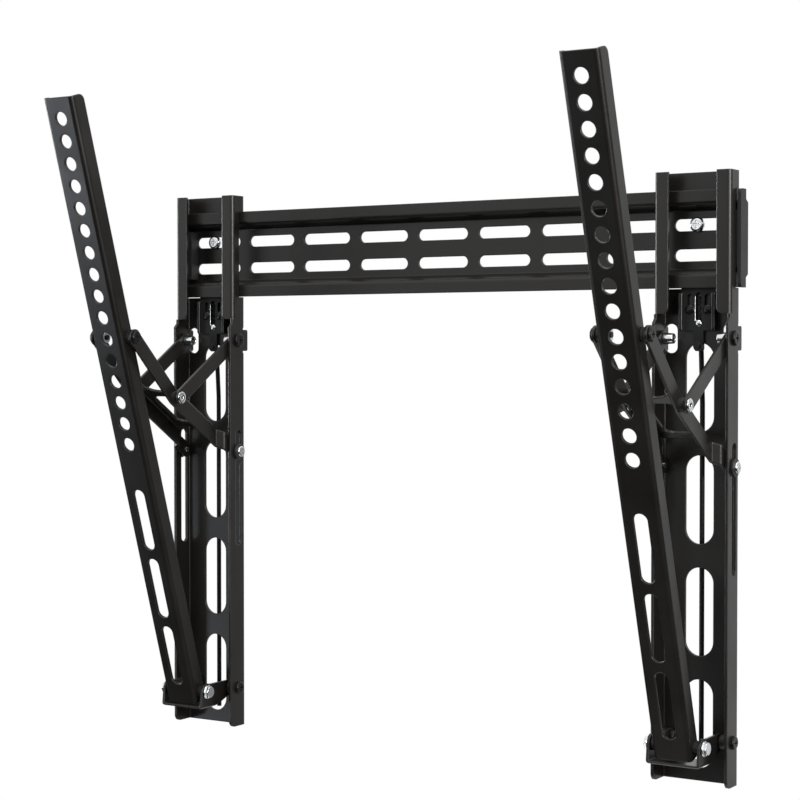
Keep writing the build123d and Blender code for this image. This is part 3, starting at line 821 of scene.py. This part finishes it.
@dataclass(kw_only=True)
class LatchRivet(Hardware):
    """Rivets of the latch plate, with a domed head in front and a flat one behind."""

    node: str = "latch_guides"
    body: str = "channel"
    paired: bool = False
    spots: tuple[Pair, ...]
    head_r: float = 3.2
    rear: float = 4.4  # back of the flat head
    rear_rim: Pair = (0.2, 0.3)  # rounding of the flat head, along the rivet and across it
    web_back: float = 5.0  # back of the channel, where the flat head ends
    seat: float = 9.4  # where the dome starts
    crown: float = 1.2
    dome_end: float = 0.96  # share of the quarter turn where a small flat closes the dome
    dome_rings: int = 12
    shank_r: float = 2.0

    def shells(self) -> list[Shell]:
        """Shapes the rivets.

        Profile: the flat head, the shank, then a dome out = seat + crown sin t, r = head_r cos t.

        Returns:
            One surface for each spot.
        """
        arc = np.linspace(0.0, self.dome_end * math.pi / 2, self.dome_rings)
        back = [self.rear, self.rear + self.rear_rim[0], self.web_back, self.web_back, self.seat]
        back_r = [self.head_r - self.rear_rim[1], self.head_r, self.head_r, self.shank_r,
                  self.shank_r]
        place = np.concatenate([back, self.seat + self.crown * np.sin(arc)])
        radius = np.concatenate([back_r, self.head_r * np.cos(arc)])
        return [skin(turned(place, radius, spot, Axis.OUT), loop=False) for spot in self.spots]


# Fine hardware of one assembly, in the order of building.
FINE_HARDWARE: tuple[Hardware, ...] = (
    HollowRivet(),
    SleeveNut(),
    HexNut(label="arm_hex_nuts", node="arm_nuts", body="long_link", centre=ARM_PIVOT,
           inner_x=7.9, outer_x=10.9, bore_r=M4_BORE),
    HexNut(label="foot_hex_nuts", node="foot_nuts", body="arm", centre=FOOT_BOLT,
           inner_x=8.2, outer_x=11.2, bore_r=M5_BORE),
    HexNut(label="pivot_hex_nuts", node="foot_pivot_nuts", body="channel", slot=Slot.OXIDE,
           centre=FOOT_PIVOT, inner_x=13.4, outer_x=16.4, bore_r=M4_BORE),
    FootBolt(),
    LatchSpring(),
    SpringPin(),
    LatchRivet(label="latch_guide_rivets", slot=Slot.OXIDE,
               spots=((-6.25, -46.0), (6.25, -46.0))),
    LatchRivet(label="latch_stop_rivet", slot=Slot.ZINC, spots=((0.0, STOP_HEIGHT),), head_r=2.3),
)


# ---------------------------------------------------------------- studio
@dataclass
class Stage:
    """Pale floor, a white backdrop behind, and a room that is pale above and dark below.

    Sizes are in metres. A spread is a pair of cosines of the angle from a direction, between
    which its light comes in.
    """

    floor_z: float = -1.10
    floor_r: float = 0.85
    floor_points: int = 96
    fade_from: float = 0.30  # from here to its rim the floor fades out
    floor_tones: tuple[str, str] = ("#e9e9e8", "#f2f2f1")
    mottle_mm: float = 1000.0 / 3.0
    backdrop_from: Point = (-0.20, 0.98, 0.0)  # direction of the backdrop's middle
    backdrop_spread: Pair = (0.48, 1.00)
    room_from: Point = (0.0, -0.15, 0.989)  # direction of the room's pale side
    room_spread: Pair = (0.02, 0.17)
    room_levels: Pair = (0.02, 0.95)  # light of the dark and of the pale side

    def floor(self) -> bpy.types.Object:
        """Lays the floor, a round sheet with its rim at floor_r times cosine and sine of an angle.

        Returns:
            The floor.
        """
        angle = angles(self.floor_points)
        rim = np.stack([np.cos(angle), np.sin(angle), np.zeros_like(angle)], axis=-1)
        points = rim * self.floor_r + (0.0, 0.0, self.floor_z)
        mesh = bpy.data.meshes.new("floor")
        mesh.from_pydata(points.tolist(), [], [list(range(self.floor_points))])
        floor = bpy.data.objects.new("floor", mesh)
        bpy.context.scene.collection.objects.link(floor)
        floor.data.materials.append(self.paint())
        return floor

    def paint(self) -> bpy.types.Material:
        """White matt paint that fades into the white surround and takes the bracket's shadow.

        Returns:
            The floor's material.
        """
        material, tree = new_material("matt_white_floor_paint")
        place = add_node(tree, "ShaderNodeTexCoord", {}).outputs["Object"]
        mottle = add_node(tree, "ShaderNodeTexNoise",
                          {"Vector": place, "Scale": 1 / (self.mottle_mm * MM),
                           "Detail": SOFT_DETAIL})
        colour = add_node(tree, "ShaderNodeMix",
                          {MIX_FACTOR: mottle.outputs["Fac"], MIX_A: linear(self.floor_tones[0]),
                           MIX_B: linear(self.floor_tones[1])}, data_type="RGBA")
        matt = add_node(tree, "ShaderNodeBsdfDiffuse", {"Color": colour.outputs[MIX_RESULT]})
        level = add_node(tree, "ShaderNodeVectorMath", {0: place, 1: LEVEL},
                         operation="MULTIPLY")
        reach = add_node(tree, "ShaderNodeVectorMath", {0: level.outputs["Vector"]},
                         operation="LENGTH")
        fade = add_node(tree, "ShaderNodeMapRange",
                        {"Value": reach.outputs["Value"], "From Min": self.fade_from,
                         "From Max": self.floor_r}, interpolation_type="SMOOTHSTEP")
        clear = add_node(tree, "ShaderNodeBsdfTransparent", {})
        both = add_node(tree, "ShaderNodeMixShader",
                        {0: fade.outputs["Result"], 1: matt.outputs[0], 2: clear.outputs[0]})
        add_node(tree, "ShaderNodeOutputMaterial", {"Surface": both.outputs[0]})
        return material

    def surround(self) -> bpy.types.World:
        """Sets the world: white to the camera, and a room with a white backdrop to reflections.

        Returns:
            The world.
        """
        world = bpy.data.worlds.new("studio_surround")
        world.use_nodes = True
        tree = world.node_tree
        tree.nodes.clear()
        way = add_node(tree, "ShaderNodeTexCoord", {}).outputs["Generated"]
        above = add_node(tree, "ShaderNodeVectorMath",
                         {0: way, 1: tuple(Vector(self.room_from).normalized())},
                         operation="DOT_PRODUCT")
        level = add_node(tree, "ShaderNodeMapRange",
                         {"Value": above.outputs["Value"], "From Min": self.room_spread[0],
                          "From Max": self.room_spread[1], "To Min": self.room_levels[0],
                          "To Max": self.room_levels[1]}, interpolation_type="SMOOTHSTEP")
        room = add_node(tree, "ShaderNodeBackground",
                        {"Color": linear(WHITE), "Strength": level.outputs["Result"]})
        behind = add_node(tree, "ShaderNodeVectorMath",
                          {0: way, 1: tuple(Vector(self.backdrop_from).normalized())},
                          operation="DOT_PRODUCT")
        spread = add_node(tree, "ShaderNodeMapRange",
                          {"Value": behind.outputs["Value"], "From Min": self.backdrop_spread[0],
                           "From Max": self.backdrop_spread[1]}, interpolation_type="SMOOTHSTEP")
        path = add_node(tree, "ShaderNodeLightPath", {})
        mirrored = add_node(tree, "ShaderNodeMath",
                            {0: path.outputs["Is Glossy Ray"], 1: spread.outputs["Result"]},
                            operation="MULTIPLY")
        direct = add_node(tree, "ShaderNodeMath",
                          {0: path.outputs["Is Camera Ray"],
                           1: path.outputs["Is Transmission Ray"]}, operation="MAXIMUM")
        seen = add_node(tree, "ShaderNodeMath", {0: direct.outputs[0], 1: mirrored.outputs[0]},
                        operation="MAXIMUM")
        white = add_node(tree, "ShaderNodeBackground", {"Color": linear(WHITE), "Strength": 1.0})
        both = add_node(tree, "ShaderNodeMixShader",
                        {0: seen.outputs[0], 1: room.outputs[0], 2: white.outputs[0]})
        add_node(tree, "ShaderNodeOutputWorld", {"Surface": both.outputs[0]})
        bpy.context.scene.world = world
        return world


@dataclass
class StudioLamp:
    """One soft square lamp that looks at the middle of the bracket, in metres and watts."""

    name: str
    place: Point
    width: float
    power: float
    tint: str = WHITE
    aim: Point = (0.0, -0.05, -0.12)

    def build(self) -> bpy.types.Object:
        """Hangs the lamp and turns it to its aim.

        Returns:
            The lamp's object.
        """
        lamp = bpy.data.lights.new(self.name, "AREA")
        lamp.shape = "SQUARE"
        lamp.size = self.width
        lamp.energy = self.power
        lamp.color = linear(self.tint)[:3]
        holder = bpy.data.objects.new(self.name, lamp)
        holder.location = self.place
        holder.rotation_mode = "QUATERNION"
        look = Vector(self.aim) - Vector(self.place)
        holder.rotation_quaternion = look.to_track_quat("-Z", "Y")
        bpy.context.scene.collection.objects.link(holder)
        return holder


# Key and top lamp, a rim lamp from the left, and a cool fill far off, low and to the left.
LAMPS = (
    StudioLamp("key_lamp", (2.5, -1.2, 0.45), width=1.2, power=60.0),
    StudioLamp("top_lamp", (0.2, -0.9, 2.4), width=1.8, power=20.0),
    StudioLamp("rim_lamp", (-2.4, -0.35, 0.05), width=0.6, power=18.0),
    StudioLamp("fill_lamp", (-4.54, -3.95, -1.60), width=1.0, power=34.0, tint="#eef6ff"),
)


@dataclass
class Viewpoint:
    """Camera right of the bracket, almost level, found from points measured on the photograph.

    The place is in metres, angles are in degrees and the sensor is in mm.
    """

    place: Point = (0.72443, -1.21191, -0.07487)
    azimuth: float = 32.15
    pitch: float = 1.35
    focal_pixels: float = 1975.96
    image: int = 800
    sensor: float = 36.0
    clip: Pair = (0.05, 50.0)

    def build(self) -> bpy.types.Object:
        """Makes the camera and gives it to the scene.

        Returns:
            The camera's object.
        """
        turn, tip = math.radians(self.azimuth), math.radians(self.pitch)
        back = Vector((math.sin(turn) * math.cos(tip), -math.cos(turn) * math.cos(tip),
                       math.sin(tip)))
        right = Vector((math.cos(turn), math.sin(turn), 0.0))
        up = back.cross(right)
        lens = bpy.data.cameras.new("camera")
        lens.sensor_width = self.sensor
        lens.lens = self.focal_pixels * self.sensor / self.image
        lens.clip_start, lens.clip_end = self.clip
        camera = bpy.data.objects.new("camera", lens)
        facing = Matrix((right, up, back)).transposed().to_4x4()
        camera.matrix_world = Matrix.Translation(self.place) @ facing
        bpy.context.scene.collection.objects.link(camera)
        bpy.context.scene.camera = camera
        return camera


# ---------------------------------------------------------------- the whole bracket
@dataclass
class Bracket:
    """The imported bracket, whose nodes get the finish of their slot, and latch plates their own."""

    finishes: dict[Slot, bpy.types.Material]
    latch_coat: bpy.types.Material
    hardware: tuple[Hardware, ...] = FINE_HARDWARE

    def dress_nodes(self) -> None:
        """Gives each CAD node the material of the slot that the record names for it."""
        for part in frame["record"]["subparts"]:
            slots = frame["nodes"][part["node"]].data.materials
            slots.clear()
            is_latch = part["node"].endswith("latch_plate")
            finish = self.finishes[Slot(part["material_slot"])]
            # Latch plates take the coat with painted shade and a painted edge highlight.
            slots.append(self.latch_coat if is_latch else finish)
            log.info("dressed %s", part["node"])

    def add_hardware(self) -> None:
        """Builds the fine hardware of both sides."""
        for side in Side:
            for kind in self.hardware:
                piece = kind.build(side, self.finishes[kind.slot])
                log.info("built %s with %d faces", piece.name, len(piece.data.polygons))


def main() -> None:
    """Builds and dresses everything, in order."""
    logging.basicConfig(level=logging.INFO, format="%(name)s: %(message)s")
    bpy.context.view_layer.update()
    bracket = Bracket(
        finishes={
            Slot.STEEL: SATIN_COAT.material(),
            Slot.OXIDE: BLACK_OXIDE.material(),
            Slot.ZINC: BRIGHT_ZINC.material(),
            Slot.PLASTIC: CAP_NYLON.material(),
        },
        latch_coat=LATCH_COAT_PAINTED_LIGHT.material(),
    )
    bracket.dress_nodes()
    bracket.add_hardware()
    stage = Stage()
    log.info("laid %s", stage.floor().name)
    log.info("set %s", stage.surround().name)
    for lamp in LAMPS:
        log.info("hung %s", lamp.build().name)
    log.info("placed %s", Viewpoint().build().name)
    bpy.context.scene.view_settings.view_transform = "Standard"


if __name__ == "__main__":
    main()
